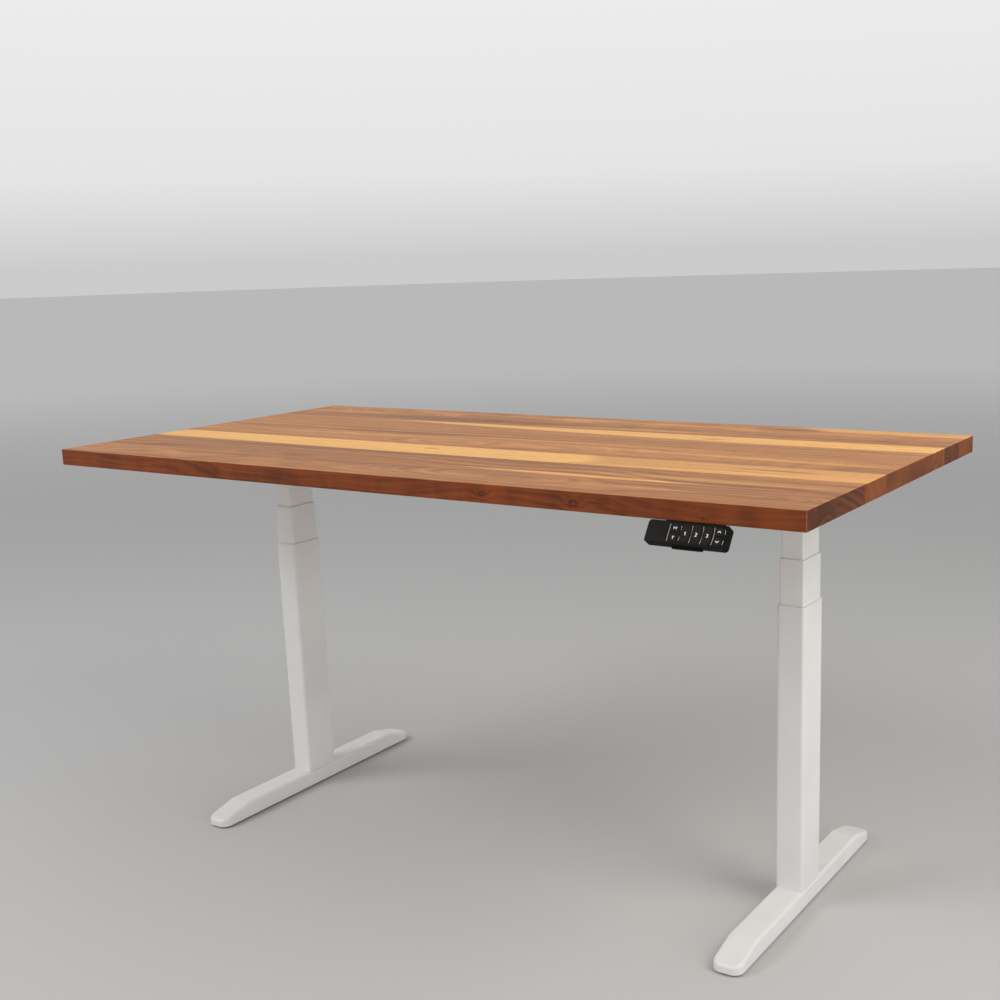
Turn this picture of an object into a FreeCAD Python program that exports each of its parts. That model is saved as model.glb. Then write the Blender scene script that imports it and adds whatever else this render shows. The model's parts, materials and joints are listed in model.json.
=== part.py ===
"""Height adjustable standing desk, as a FreeCAD document.

Two three-stage lifting columns stand on long feet and carry a wooden top. Each leg holds a pair of
telescoping spindles, driven from a worm gearbox under the top. Millimetres, +Z up, +X to the right
of the person sitting at the desk, who is on the -Y side. The origin is on the floor, under the
middle of the whole desk. The desk is drawn 145 mm above its lowest position.
"""
import FreeCAD, Part
import math
import os
import re
import Sketcher

Vector = FreeCAD.Vector

# ---------------------------------------------------------------- driving dimensions
SIZES = {
    # the top, and how far the keypad reaches in front of it
    "top_width": 1524, "top_depth": 762, "top_thickness": 30, "top_height": 792, "keypad_reach": 22,
    # the places of the two legs
    "leg_x": 576, "leg_y": 54.5,
    # feet, each a channel with two bosses for its levelling glides
    "foot_length": 590, "foot_width": 52, "foot_clear": 4, "foot_top": 35, "foot_end_top": 18,
    "foot_slope": 70, "foot_corner": 18, "foot_rounding": 6, "foot_wall": 3,
    "boss_radius": 9, "boss_start": 9, "boss_top": 25, "thread_depth": 15,
    "glide_y": 255, "glide_radius": 15, "glide_pad": 5, "glide_collar": 2, "glide_stem": 4,
    "stem_length": 13,
    "foot_screw": 4, "foot_screw_gap": 0.2, "foot_screw_head": 6.5, "foot_head_height": 5,
    # the three nested column tubes, by their full outer sizes
    "outer_wide": 50, "outer_deep": 80, "column_wall": 1.5, "column_corner": 6,
    "middle_corner": 3.6, "inner_corner": 2.5,
    "middle_wide": 44.6, "middle_deep": 74.6, "inner_wide": 39.2, "inner_deep": 69.2,
    "outer_end": 545.7, "middle_start": 115.3, "middle_end": 625.3, "inner_start": 203,
    "liner_wall": 0.9, "liner_length": 50, "liner_inset": 0.1,
    # spindles
    "plate_thickness": 6, "base_spindle_end": 525, "spindle_radius": 8, "spindle_bore": 5,
    "lift_radius": 11, "lift_bore": 8.5, "lift_start": 150, "lift_end": 617, "hex_cap": 14,
    "bearing_height": 12, "journal": 13, "thread_gap": 0.05, "nut_start": 225, "nut_length": 30,
    "nut_radius": 17, "tube_bore": 12, "hex_radius": 4.62, "hex_gap": 0.08, "drive_start": 345,
    # gearbox and motor
    "housing_low": 701, "housing_high": 759, "housing_inner": 40, "housing_outer": 34,
    "housing_half": 52, "housing_wall": 4, "housing_corner": 6, "column_passage": 8,
    "worm_z": 730, "worm_y": 24, "wheel_tip": 17, "wheel_height": 12, "tooth_depth": 3,
    "gap_at_root": 0.9, "gap_at_tip": 1.7, "worm_crest": 6.4, "worm_length": 30, "shaft_radius": 4.5,
    "shaft_end": 20, "shaft_setback": 10, "motor_radius": 25, "motor_length": 110, "motor_wall": 2.5,
    # rails and brackets under the top
    "rail_wide": 18, "rail_tall": 38, "rail_wall": 2, "rail_low": 714, "side_rail_start": 250,
    "centre_rail_half": 330, "rail_screw_x": 290, "rail_screw": 3, "rail_screw_head": 5.5,
    "rail_head_height": 4, "bracket_half": 285, "bracket_plate": 3, "bracket_back": 34,
    "bracket_flange": 38, "bracket_tip": 4,
    # wood screws
    "wood_screw": 2.5, "wood_screw_head": 5, "wood_head_height": 2.6, "pilot_depth": 22,
    # control box, its mains inlet, and the leads that end at it
    "box_half": 130, "box_deep": 44, "box_low": 722, "box_corner": 5,
    "inlet_y": 26, "inlet_z": 742, "inlet_half": 14, "inlet_tall": 10, "inlet_depth": 24,
    "inlet_wall": 2, "inlet_floor": 6, "inlet_proud": 2, "pin_half": 1, "pin_tall": 2,
    "motor_lead": 3, "keypad_lead": 2.25,
    # clips that hold the leads
    "clip_half": 3.5, "clip_reach": 7, "clip_low": 750, "clip_gap": 0.8,
    # keypad, whose face leans back, the tongue that holds it under the top, and the lip below it
    "keypad_x": 591, "keypad_y": -382.06, "keypad_z": 748, "keypad_tilt": 55, "keypad_half": 63,
    "keypad_slope": 17.3, "keypad_thick": 12, "keypad_corner": 5, "face_thickness": 1.2,
    "face_half": 61.5, "face_slope": 16, "recess_depth": 5.2, "recess_inset": 1, "recess_side": 2.5,
    "board_thickness": 1.2, "board_gap": 0.1, "display_start": 5, "display_end": 31, "display_half": 8,
    "tongue_half": 40, "tongue_front": -366.5, "tongue_back": -340, "tongue_low": 747,
    "keypad_screw_x": 33, "keypad_screw_y": -352, "lip_left": 21.7, "lip_right": 24.6,
    # buttons, which show through the face and are held behind it by a flange
    "button_gap": 0.2, "button_proud": 0.6, "button_flange": 0.8, "flange_reach": 0.9,
    "number_pitch": 16.9, "first_number": -2.3, "number_half": 7.1, "number_long": 13.6,
    "number_corner": 6.2, "small_place": 7.3, "small_long": 6.1, "small_corner": 5.2,
    "letter_half": 5.6, "arrow_half": 6.5,
}
WHEEL_TEETH = 20
SIDES = {"left": -1, "right": 1}

document = FreeCAD.newDocument("StandingDesk")
sheet = document.addObject("Spreadsheet::Sheet", "Sizes")
for row, (alias, size) in enumerate(SIZES.items(), start=1):
    sheet.set(f"A{row}", alias)
    sheet.set(f"B{row}", str(size))
    sheet.setAlias(f"B{row}", alias)
document.recompute()

NODES = {}


# ---------------------------------------------------------------- helpers
def sized(formula):
    """Point the sheet's names in a formula at the sheet."""
    return re.sub(r"[a-z][a-z0-9_]*", lambda m: f"Sizes.{m[0]}" if m[0] in SIZES else m[0], str(formula))


def value(formula):
    """What a formula of the sheet's names comes to."""
    return float(sheet.evalExpression(sized(formula)))


def bind(item, **formulas):
    for name, formula in formulas.items():
        item.setExpression(name, sized(formula))
    return item


def place(item, x, y, z):
    for axis, formula in zip("xyz", (x, y, z)):
        item.setExpression(f"Placement.Base.{axis}", sized(formula))
    return item


def node(label, item):
    """Keep an object as the sub-part of that name."""
    item.Label = label
    NODES[label] = item
    return item


def block(name, x, y, z):
    """A box between two formulas along each axis."""
    box = document.addObject("Part::Box", name)
    bind(box, Length=f"({x[1]})-({x[0]})", Width=f"({y[1]})-({y[0]})", Height=f"({z[1]})-({z[0]})")
    return place(box, x[0], y[0], z[0])


TURNS = {
    "Z": FreeCAD.Rotation(),
    "X": FreeCAD.Rotation(Vector(0, 1, 0), 90),
    "Y": FreeCAD.Rotation(Vector(1, 0, 0), -90),
}


def rod(name, radius, length, start, along="Z"):
    """A round bar from its start, along an axis."""
    bar = document.addObject("Part::Cylinder", name)
    bar.Placement = FreeCAD.Placement(Vector(), TURNS[along])
    bind(bar, Radius=radius, Height=length)
    return place(bar, *start)


def hexagon(name, radius, length, start):
    bar = document.addObject("Part::Prism", name)
    bar.Polygon = 6
    bind(bar, Circumradius=radius, Height=length)
    return place(bar, *start)


def group(name, *items):
    """Separate solids held as one object."""
    compound = document.addObject("Part::Compound", name)
    compound.Links = list(items)
    return compound


def cut(name, base, *tools):
    difference = document.addObject("Part::Cut", name)
    difference.Base = base
    difference.Tool = tools[0] if len(tools) == 1 else group(f"{name}_tools", *tools)
    return difference


def fuse(name, *items):
    union = document.addObject("Part::MultiFuse", name)
    union.Shapes = list(items)
    union.Refine = True
    return union


def common(name, first, second):
    shared = document.addObject("Part::MultiCommon", name)
    shared.Shapes = [first, second]
    return shared


def prism(name, outline, low, high, plane="XY_Plane", corner=None):
    """Pad an outline of formula points between two heights along its plane's normal.

    The side view plane is YZ, whose normal is +X. corner rounds the edges along the normal."""
    body = document.addObject("PartDesign::Body", name)
    sketch = body.newObject("Sketcher::SketchObject", f"{name}_outline")
    origin_plane = next(item for item in body.Origin.OriginFeatures if item.Role == plane)
    sketch.AttachmentSupport = [(origin_plane, "")]
    sketch.MapMode = "FlatFace"
    sketch.setExpression(".AttachmentOffset.Base.z", sized(low))
    corners = [Vector(value(across), value(along), 0) for across, along in outline]
    for index, start in enumerate(corners):
        sketch.addGeometry(Part.LineSegment(start, corners[(index + 1) % len(corners)]), False)
    for index in range(len(corners)):
        following = (index + 1) % len(corners)
        sketch.addConstraint(Sketcher.Constraint("Coincident", index, 2, following, 1))
    for index, (point, formulas) in enumerate(zip(corners, outline)):
        for kind, distance, formula in zip(("DistanceX", "DistanceY"), (point.x, point.y), formulas):
            limit = sketch.addConstraint(Sketcher.Constraint(kind, -1, 1, index, 1, distance))
            sketch.setExpression(f"Constraints[{limit}]", sized(formula))
    pad = body.newObject("PartDesign::Pad", f"{name}_pad")
    pad.Profile = sketch
    bind(pad, Length=f"({high})-({low})")
    document.recompute()
    if corner is not None:
        normal = Vector(1, 0, 0) if plane == "YZ_Plane" else Vector(0, 0, 1)
        edges = [
            f"Edge{index}" for index, edge in enumerate(pad.Shape.Edges, start=1)
            if abs(edge.tangentAt(edge.FirstParameter).dot(normal)) > 0.99
        ]
        fillet = body.newObject("PartDesign::Fillet", f"{name}_corners")
        fillet.Base = (pad, edges)
        bind(fillet, Radius=corner)
        document.recompute()
    return body


def rectangle(x, y):
    return [(x[0], y[0]), (x[1], y[0]), (x[1], y[1]), (x[0], y[1])]


def about(centre, half):
    """The span of a formula either side of a centre."""
    return (f"({centre})-({half})", f"({centre})+({half})")


def outward(side, inner, outer):
    """An X span measured outwards from a leg's axis, on that leg's side."""
    if side == "right":
        return (f"leg_x+({inner})", f"leg_x+({outer})")
    return (f"-leg_x-({outer})", f"-leg_x-({inner})")


def leg_centre(side):
    return f"{SIDES[side]}*leg_x"


def bar(name, side, wide, deep, corner, low, high):
    """A rounded bar about a leg's axis, by its full sizes."""
    x = about(leg_centre(side), f"({wide})/2")
    y = about("leg_y", f"({deep})/2")
    return prism(name, rectangle(x, y), low, high, corner=corner)


def sleeve(name, side, wide, deep, wall, corner, low, high):
    """A rounded tube about a leg's axis, by its full outer sizes and its wall."""
    outside = bar(f"{name}_outside", side, wide, deep, corner, low, high)
    inside = bar(
        f"{name}_inside", side, f"({wide})-2*({wall})", f"({deep})-2*({wall})",
        f"({corner})-({wall})", f"({low})-1", f"({high})+1",
    )
    return cut(name, outside, inside)


def pipe(name, side, radius, bore, low, high):
    """A round tube on a leg's axis."""
    outside = rod(f"{name}_outside", radius, f"({high})-({low})", (leg_centre(side), "leg_y", low))
    inside = rod(f"{name}_bore", bore, f"({high})-({low})+2", (leg_centre(side), "leg_y", f"({low})-1"))
    return cut(name, outside, inside)


# ---------------------------------------------------------------- feet
GLIDES = {"front": -1, "rear": 1}
SCREW_PLACES = [(x, y) for x in (-14, 14) for y in (-28, 28)]


def foot_form(name, side, inset):
    """The foot's outer form, or with an inset the hollow inside it."""
    x = about(leg_centre(side), f"foot_width/2-({inset})")
    y = about("leg_y", f"foot_length/2-({inset})")
    plan = prism(f"{name}_plan", rectangle(x, y), "0", "2*foot_top", corner=f"foot_corner-({inset})")
    low = "foot_clear" if inset == "0" else "foot_clear/4"
    slope_start = f"foot_length/2-foot_slope-({inset})/4"
    outline = [
        (y[0], low), (y[1], low), (y[1], f"foot_end_top-({inset})"),
        (f"leg_y+{slope_start}", f"foot_top-({inset})"),
        (f"leg_y-({slope_start})", f"foot_top-({inset})"), (y[0], f"foot_end_top-({inset})"),
    ]
    profile = prism(f"{name}_profile", outline, f"({x[0]})-5", f"({x[1]})+5", plane="YZ_Plane")
    return common(name, plan, profile)


def rounded_top(name, base):
    """Round every edge between the foot's sides and its upward faces."""
    document.recompute()
    shape = base.Shape
    upward = [face for face in shape.Faces if face.normalAt(0, 0).z > 0.5]
    chosen = []
    for index, edge in enumerate(shape.Edges, start=1):
        touching = [face for face in upward if any(edge.isSame(other) for other in face.Edges)]
        if len(touching) == 1:
            chosen.append((index, value("foot_rounding"), value("foot_rounding")))
    fillet = document.addObject("Part::Fillet", name)
    fillet.Base = base
    fillet.Edges = chosen
    return fillet


def glide_place(side, end):
    return leg_centre(side), f"leg_y+{GLIDES[end]}*glide_y"


def make_foot(side):
    """A steel channel, open below, with a threaded boss for each glide."""
    form = rounded_top(f"{side}_foot_form", foot_form(f"{side}_foot_block", side, "0"))
    shell = cut(f"{side}_foot_shell", form, foot_form(f"{side}_foot_hollow", side, "foot_wall"))
    pieces = [shell]
    holes = []
    for end in GLIDES:
        x, y = glide_place(side, end)
        pieces.append(rod(f"{side}_{end}_boss", "boss_radius", "boss_top-boss_start", (x, y, "boss_start")))
        holes.append(rod(f"{side}_{end}_thread", "glide_stem+thread_gap", "thread_depth",
                         (x, y, "boss_start-1")))
    for number, (x, y) in enumerate(SCREW_PLACES):
        start = (f"{leg_centre(side)}+{x}", f"leg_y+{y}", "foot_top-foot_wall-2")
        holes.append(rod(f"{side}_foot_hole_{number}", "foot_screw+foot_screw_gap", "foot_wall+3", start))
    solid = fuse(f"{side}_foot_solid", *pieces)
    return node(f"{side}_foot", cut(f"{side}_foot_cut", solid, *holes))


def make_glide(side, end):
    """A levelling glide: a round pad on the floor under a screwed stem."""
    x, y = glide_place(side, end)
    name = f"{side}_{end}_glide"
    pad = rod(f"{name}_pad", "glide_radius", "glide_pad", (x, y, "0"))
    collar = rod(f"{name}_collar", "glide_radius-5", "glide_collar", (x, y, "glide_pad"))
    stem = rod(f"{name}_stem", "glide_stem", "stem_length", (x, y, "glide_pad+glide_collar"))
    return node(name, fuse(f"{name}_solid", pad, collar, stem))


def make_column_base(side):
    """The plate welded inside the outer column, tapped for the foot's screws."""
    plate = bar(f"{side}_plate_blank", side, "outer_wide-2*column_wall", "outer_deep-2*column_wall",
                "column_corner-column_wall", "foot_top", "foot_top+plate_thickness")
    holes = [
        rod(f"{side}_plate_hole_{number}", "foot_screw", "20",
            (f"{leg_centre(side)}+{x}", f"leg_y+{y}", "foot_top-5"))
        for number, (x, y) in enumerate(SCREW_PLACES)
    ]
    return cut(f"{side}_base_plate", plate, *holes)


def make_foot_screws():
    """Four screws up through each foot into its column's base plate."""
    screws = []
    for side in SIDES:
        for number, (x, y) in enumerate(SCREW_PLACES):
            centre = (f"{leg_centre(side)}+{x}", f"leg_y+{y}")
            name = f"{side}_foot_screw_{number}"
            under = "foot_top-foot_wall"
            head = rod(f"{name}_head", "foot_screw_head", "foot_head_height",
                       (*centre, f"{under}-foot_head_height"))
            shank = rod(f"{name}_shank", "foot_screw", "foot_wall+plate_thickness", (*centre, under))
            screws.append(fuse(name, head, shank))
    return node("foot_screws", group("foot_screws_all", *screws))


for side in SIDES:
    make_foot(side)
    for end in GLIDES:
        make_glide(side, end)
make_foot_screws()
node("column_base_plates", group("column_base_plates_all", *[make_column_base(side) for side in SIDES]))


# ---------------------------------------------------------------- columns
def make_columns(side):
    outer = sleeve(f"{side}_outer_tube", side, "outer_wide", "outer_deep", "column_wall",
                   "column_corner", "foot_top", "outer_end")
    node(f"{side}_outer_column", outer)
    middle = sleeve(f"{side}_middle_tube", side, "middle_wide", "middle_deep", "column_wall",
                    "middle_corner", "middle_start", "middle_end")
    node(f"{side}_middle_column", middle)
    inner = sleeve(f"{side}_inner_tube", side, "inner_wide", "inner_deep", "column_wall",
                   "inner_corner", "inner_start", "housing_low")
    node(f"{side}_inner_column", inner)


def make_liner(name, side, outline, corner, low, high):
    """A thin plastic collar that fills most of the gap between two of the tubes."""
    wide, deep = outline
    return sleeve(name, side, wide, deep, "liner_wall", corner, low, high)


OUTER_HOLLOW = ("outer_wide-2*column_wall", "outer_deep-2*column_wall")
MIDDLE_HOLLOW = ("middle_wide-2*column_wall", "middle_deep-2*column_wall")
MIDDLE_WRAP = ("middle_wide+2*liner_wall", "middle_deep+2*liner_wall")
INNER_WRAP = ("inner_wide+2*liner_wall", "inner_deep+2*liner_wall")

for side in SIDES:
    make_columns(side)
    upper = make_liner(f"{side}_middle_upper_liner", side, MIDDLE_HOLLOW, "middle_corner-column_wall",
                       "middle_end-liner_length", "middle_end-liner_inset")
    lower = make_liner(f"{side}_middle_lower_liner", side, MIDDLE_WRAP, "middle_corner+liner_wall",
                       "middle_start+1", "middle_start+1+liner_length")
    node(f"{side}_middle_liners", group(f"{side}_middle_liner_pair", upper, lower))
node("outer_column_liners", group("outer_liner_pair", *[
    make_liner(f"{side}_outer_liner", side, OUTER_HOLLOW, "column_corner-column_wall",
               "outer_end-liner_length", "outer_end-liner_inset")
    for side in SIDES
]))
node("inner_column_liners", group("inner_liner_pair", *[
    make_liner(f"{side}_inner_liner", side, INNER_WRAP, "inner_corner+liner_wall",
               "inner_start+1", "inner_start+1+liner_length")
    for side in SIDES
]))


# ---------------------------------------------------------------- spindles inside the columns
def make_spindles(side):
    """Hollow spindles: the lift spindle turns, and climbs the fixed base spindle inside it."""
    centre = (leg_centre(side), "leg_y")
    bearing = bar(f"{side}_bearing_plate", side, *MIDDLE_HOLLOW, "middle_corner-column_wall",
                  "middle_start", "middle_start+bearing_height")
    seat = rod(f"{side}_bearing_seat", "journal+thread_gap", "bearing_height+2",
               (*centre, "middle_start-1"))
    node(f"{side}_spindle_bearing", cut(f"{side}_bearing", bearing, seat))

    journal = rod(f"{side}_nut_journal", "journal", "bearing_height", (*centre, "middle_start"))
    flange = rod(f"{side}_nut_flange", "nut_radius-1", "lift_start-middle_start-bearing_height",
                 (*centre, "middle_start+bearing_height"))
    bore = rod(f"{side}_nut_bore", "spindle_radius+thread_gap", "lift_start-middle_start+2",
               (*centre, "middle_start-1"))
    body = fuse(f"{side}_nut_body", journal, flange)
    node(f"{side}_lower_nut", cut(f"{side}_lower_nut_cut", body, bore))

    outside = rod(f"{side}_lift_outside", "lift_radius", "lift_end-lift_start", (*centre, "lift_start"))
    hollow = rod(f"{side}_lift_hollow", "lift_bore", "lift_end-hex_cap-lift_start+1",
                 (*centre, "lift_start-1"))
    socket = hexagon(f"{side}_lift_socket", "hex_radius+hex_gap", "hex_cap+2",
                     (*centre, "lift_end-hex_cap-1"))
    node(f"{side}_lift_spindle", cut(f"{side}_lift_cut", outside, hollow, socket))

    drive = hexagon(f"{side}_drive", "hex_radius", "worm_z+wheel_height-drive_start",
                    (*centre, "drive_start"))
    node(f"{side}_drive_shaft", drive)


def make_base_spindle(side):
    return pipe(f"{side}_base_spindle", side, "spindle_radius", "spindle_bore",
                "foot_top+plate_thickness", "base_spindle_end")


def make_lift_tube(side):
    return pipe(f"{side}_lift_tube", side, "nut_radius", "tube_bore",
                "nut_start+nut_length", "housing_low")


def make_lift_nut(side):
    return pipe(f"{side}_lift_nut", side, "nut_radius", "lift_radius+thread_gap",
                "nut_start", "nut_start+nut_length")


for side in SIDES:
    make_spindles(side)
node("base_spindles", group("base_spindle_pair", *[make_base_spindle(side) for side in SIDES]))
node("lift_tubes", group("lift_tube_pair", *[make_lift_tube(side) for side in SIDES]))
node("lift_nuts", group("lift_nut_pair", *[make_lift_nut(side) for side in SIDES]))


# ---------------------------------------------------------------- gearboxes and motors
def make_worm_wheel(side):
    """A toothed wheel with a hexagonal bore. Its teeth are cut by a repeated pocket."""
    name = f"{side}_wheel"
    body = document.addObject("PartDesign::Body", name)
    plane = next(item for item in body.Origin.OriginFeatures if item.Role == "XY_Plane")

    def circle_sketch(label, radius):
        sketch = body.newObject("Sketcher::SketchObject", label)
        sketch.AttachmentSupport = [(plane, "")]
        sketch.MapMode = "FlatFace"
        sketch.addGeometry(Part.Circle(Vector(), Vector(0, 0, 1), value(radius)), False)
        sketch.addConstraint(Sketcher.Constraint("Coincident", 0, 3, -1, 1))
        limit = sketch.addConstraint(Sketcher.Constraint("Radius", 0, value(radius)))
        sketch.setExpression(f"Constraints[{limit}]", sized(radius))
        return sketch

    disc = body.newObject("PartDesign::Pad", f"{name}_disc")
    disc.Profile = circle_sketch(f"{name}_rim", "wheel_tip")
    bind(disc, Length="wheel_height")
    document.recompute()
    gap = body.newObject("Sketcher::SketchObject", f"{name}_gap")
    gap.AttachmentSupport = [(plane, "")]
    gap.MapMode = "FlatFace"
    root, tip = value("wheel_tip-tooth_depth"), value("wheel_tip+1")
    narrow, open_end = value("gap_at_root"), value("gap_at_tip")
    outline = [(root, -narrow), (tip, -open_end), (tip, open_end), (root, narrow)]
    corners = [Vector(x, y, 0) for x, y in outline]
    for index, start in enumerate(corners):
        gap.addGeometry(Part.LineSegment(start, corners[(index + 1) % 4]), False)
    for index, start in enumerate(corners):
        gap.addConstraint(Sketcher.Constraint("Coincident", index, 2, (index + 1) % 4, 1))
        gap.addConstraint(Sketcher.Constraint("DistanceX", -1, 1, index, 1, start.x))
        gap.addConstraint(Sketcher.Constraint("DistanceY", -1, 1, index, 1, start.y))
    first = body.newObject("PartDesign::Pocket", f"{name}_tooth_gap")
    first.Profile = gap
    first.Reversed = True
    bind(first, Length="wheel_height")
    document.recompute()
    pattern = body.newObject("PartDesign::PolarPattern", f"{name}_teeth")
    pattern.Originals = [first]
    pattern.Axis = (gap, ["N_Axis"])
    pattern.Angle = 360
    pattern.Occurrences = WHEEL_TEETH
    body.Tip = pattern
    document.recompute()
    place(body, leg_centre(side), "leg_y", "worm_z-wheel_height/2")
    bore = hexagon(f"{name}_bore", "hex_radius", "wheel_height+2",
                   (leg_centre(side), "leg_y", "worm_z-wheel_height/2-1"))
    return node(f"{side}_worm_wheel", cut(f"{name}_cut", body, bore))


def make_gearbox(side):
    """The housing on top of the inner column, which the wheel and the worm turn in."""
    name = f"{side}_gearbox"
    x = outward(side, "-housing_inner", "housing_outer")
    y = about("leg_y", "housing_half")
    outside = prism(f"{name}_outside", rectangle(x, y), "housing_low", "housing_high",
                    corner="housing_corner")
    x = outward(side, "housing_wall-housing_inner", "housing_outer-housing_wall")
    y = about("leg_y", "housing_half-housing_wall")
    inside = prism(f"{name}_inside", rectangle(x, y), "housing_low+housing_wall",
                   "housing_high-housing_wall", corner="housing_corner/2")
    column_hole = rod(f"{name}_column_hole", "column_passage", "housing_wall+6",
                      (leg_centre(side), "leg_y", "housing_low-1"))
    worm_start = outward(side, "-housing_inner-1", "2-housing_inner+housing_wall")
    worm_hole = rod(f"{name}_worm_hole", "worm_crest+1", "housing_wall+3",
                    (worm_start[0], "leg_y-worm_y", "worm_z"), along="X")
    return node(f"{side}_gearbox_housing", cut(f"{name}_cut", outside, inside, column_hole, worm_hole))


def make_motor(side):
    """A closed motor can beside the gearbox, with the worm on its shaft."""
    centre = ("leg_y-worm_y", "worm_z")
    x = outward(side, "-housing_inner-motor_length", "-housing_inner")
    outside = rod(f"{side}_can_outside", "motor_radius", f"({x[1]})-({x[0]})", (x[0], *centre), along="X")
    hollow_x = outward(side, "motor_wall-housing_inner-motor_length", "-housing_inner-motor_wall")
    hollow = rod(f"{side}_can_hollow", "motor_radius-motor_wall", f"({hollow_x[1]})-({hollow_x[0]})",
                 (hollow_x[0], *centre), along="X")
    nose_x = outward(side, "-housing_inner-2*motor_wall", "1-housing_inner")
    nose = rod(f"{side}_can_nose", "worm_crest+1", f"({nose_x[1]})-({nose_x[0]})",
               (nose_x[0], *centre), along="X")
    node(f"{side}_motor_can", cut(f"{side}_can", outside, hollow, nose))
    shaft_x = outward(side, "shaft_setback-housing_inner-motor_length", "shaft_end")
    shaft = rod(f"{side}_worm_shaft", "shaft_radius", f"({shaft_x[1]})-({shaft_x[0]})",
                (shaft_x[0], *centre), along="X")
    worm_x = outward(side, "-worm_length/2", "worm_length/2")
    worm = rod(f"{side}_worm", "worm_crest", "worm_length", (worm_x[0], *centre), along="X")
    node(f"{side}_motor_worm", fuse(f"{side}_worm_solid", shaft, worm))


for side in SIDES:
    make_worm_wheel(side)
    make_gearbox(side)
    make_motor(side)


# ---------------------------------------------------------------- rails and brackets
RAIL_SIGNS = {"front": -1, "rear": 1}


def rail_y(end, inner, outer):
    """A Y span measured outwards from the gearbox housings' faces."""
    if end == "rear":
        return (f"leg_y+housing_half+({inner})", f"leg_y+housing_half+({outer})")
    return (f"leg_y-housing_half-({outer})", f"leg_y-housing_half-({inner})")


def box_tube(name, x, y, z, wall):
    """A square tube along X, open at both ends."""
    outside = block(f"{name}_outside", x, y, z)
    inside = block(
        f"{name}_inside", (f"({x[0]})-1", f"({x[1]})+1"),
        (f"({y[0]})+({wall})", f"({y[1]})-({wall})"), (f"({z[0]})+({wall})", f"({z[1]})-({wall})"),
    )
    return outside, inside


def rail_screw_hole(name, side, end):
    y = rail_y(end, "-5", "rail_wide+5")
    start = (f"{SIDES[side]}*rail_screw_x", y[0], "rail_low+rail_tall/2")
    return rod(name, "rail_screw", "rail_wide+10", start, along="Y")


def make_centre_rail(end):
    name = f"{end}_centre_rail"
    outside, inside = box_tube(
        name, about("0", "centre_rail_half"), rail_y(end, "-rail_wall", "rail_wide+rail_wall"),
        ("rail_low-rail_wall", "rail_low+rail_tall+rail_wall"), "rail_wall",
    )
    holes = [rail_screw_hole(f"{name}_hole_{side}", side, end) for side in SIDES]
    return cut(name, outside, inside, *holes)


def make_side_rail(side, end):
    name = f"{side}_{end}_side_rail"
    x = outward(side, "side_rail_start-leg_x", "housing_outer")
    outside, inside = box_tube(name, x, rail_y(end, "0", "rail_wide"),
                               ("rail_low", "rail_low+rail_tall"), "rail_wall")
    return cut(name, outside, inside, rail_screw_hole(f"{name}_hole", side, end))


def make_rail_screw(side, end):
    """The screw that locks a side rail in a centre rail."""
    name = f"{side}_{end}_rail_screw"
    centre = f"{SIDES[side]}*rail_screw_x"
    height = "rail_low+rail_tall/2"
    shank_y = rail_y(end, "-rail_wall", "rail_wide+rail_wall")
    shank = rod(f"{name}_shank", "rail_screw", "rail_wide+2*rail_wall",
                (centre, shank_y[0], height), along="Y")
    head_y = rail_y(end, "rail_wide+rail_wall", "rail_wide+rail_wall+rail_head_height")
    head = rod(f"{name}_head", "rail_screw_head", "rail_head_height",
               (centre, head_y[0], height), along="Y")
    return fuse(name, shank, head)


ENDS_AND_SIDES = [(side, end) for side in SIDES for end in RAIL_SIGNS]
node("centre_rails", group("centre_rail_pair", *[make_centre_rail(end) for end in RAIL_SIGNS]))
node("side_rails", group("side_rail_set", *[make_side_rail(side, end) for side, end in ENDS_AND_SIDES]))
node("rail_screws", group("rail_screw_set", *[make_rail_screw(side, end) for side, end in ENDS_AND_SIDES]))

BRACKET_SCREWS = [(x, y) for x in (-20, 14) for y in (-262, -130, 130, 262)]


def make_bracket(side):
    """A folded arm under the top, across each leg."""
    name = f"{side}_bracket"
    plate = block(f"{name}_plate", outward(side, "-bracket_back", "housing_outer+bracket_plate"),
                  about("leg_y", "bracket_half"), ("housing_high", "housing_high+bracket_plate"))
    outline = [
        ("leg_y-bracket_half", "housing_high+1"), ("leg_y-bracket_half", "housing_high-bracket_tip"),
        ("leg_y-bracket_half/2", "housing_high-bracket_flange"),
        ("leg_y+bracket_half/2", "housing_high-bracket_flange"),
        ("leg_y+bracket_half", "housing_high-bracket_tip"), ("leg_y+bracket_half", "housing_high+1"),
    ]
    x = outward(side, "housing_outer", "housing_outer+bracket_plate")
    flange = prism(f"{name}_flange", outline, *x, plane="YZ_Plane")
    holes = [
        rod(f"{name}_hole_{number}", "wood_screw", "10",
            (f"{leg_centre(side)}+{x}", f"leg_y+{y}", "housing_high-bracket_plate"))
        for number, (x, y) in enumerate(BRACKET_SCREWS)
    ]
    return node(f"{side}_side_bracket", cut(f"{name}_cut", fuse(f"{name}_folded", plate, flange), *holes))


for side in SIDES:
    make_bracket(side)


# ---------------------------------------------------------------- keypad
def on_keypad(item, across, along, out):
    """Place an object by keypad coordinates: across, up the face, and out of the face."""
    item.Placement = FreeCAD.Placement(Vector(), FreeCAD.Rotation(Vector(1, 0, 0), value("keypad_tilt")))
    bind(item, **{"Placement.Rotation.Angle": "keypad_tilt"})
    tilt = "keypad_tilt*1deg"
    return place(
        item, f"keypad_x+({across})",
        f"keypad_y+({along})*cos({tilt})-({out})*sin({tilt})",
        f"keypad_z+({along})*sin({tilt})+({out})*cos({tilt})",
    )


def keypad_block(name, across, along, out):
    """A box in keypad coordinates, each given as its two ends."""
    box = document.addObject("Part::Box", name)
    bind(box, Length=f"({across[1]})-({across[0]})", Width=f"({along[1]})-({along[0]})",
         Height=f"({out[1]})-({out[0]})")
    return on_keypad(box, across[0], along[0], out[0])


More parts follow.
